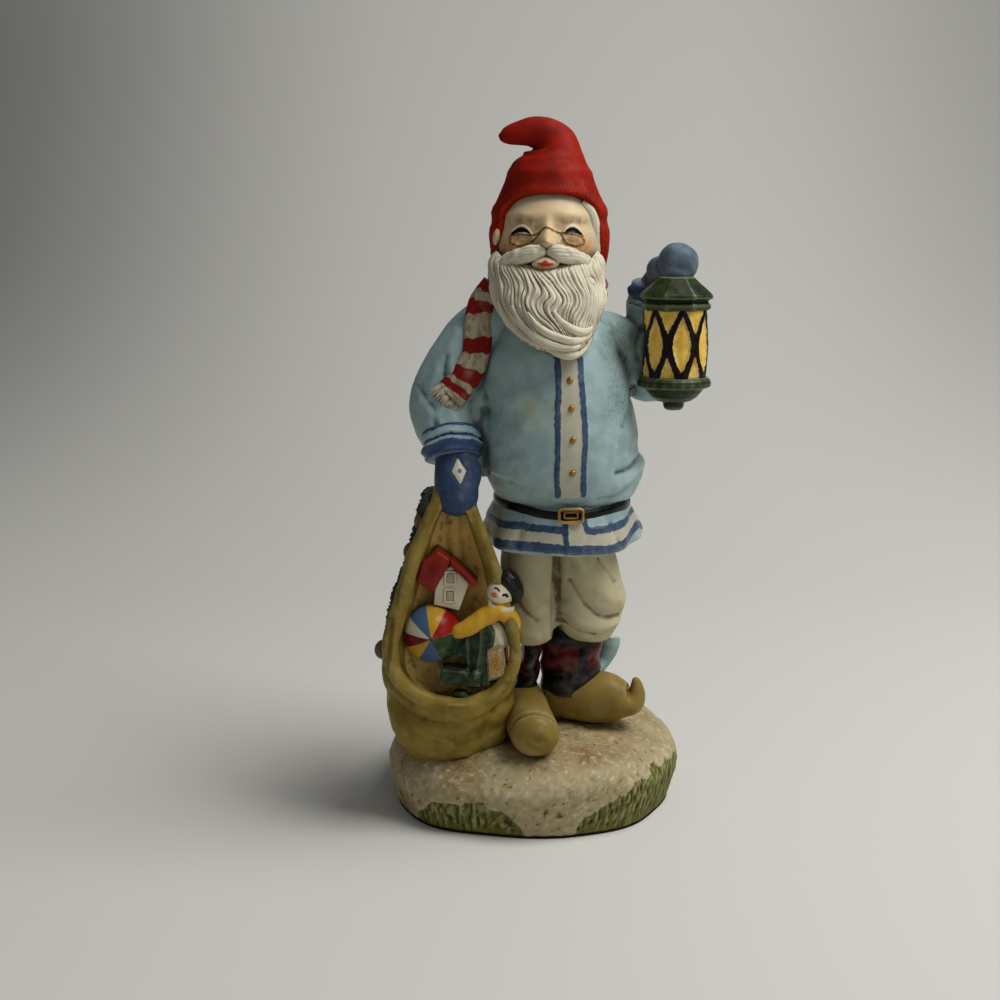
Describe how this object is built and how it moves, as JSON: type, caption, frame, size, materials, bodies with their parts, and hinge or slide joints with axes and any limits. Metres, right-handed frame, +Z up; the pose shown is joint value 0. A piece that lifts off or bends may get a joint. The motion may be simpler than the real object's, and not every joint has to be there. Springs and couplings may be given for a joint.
{
  "type": "gnome figurine",
  "caption": "Painted resin figurine of a bearded gnome in a pointed hat and coat, holding a lantern and an open sack of toys, cast in one piece with a snowy mound.",
  "frame": {"origin": "middle of the flat underside of the base", "axes": "+Z up, the gnome faces -Y, +X is towards the lantern"},
  "size_m": [0.0921, 0.0804, 0.1902],
  "materials": {
    "painted_resin": "hand-painted cast resin, satin"
  },
  "bodies": {
    "root": {"gnome_figurine": "painted_resin"}
  },
  "joints": []
}
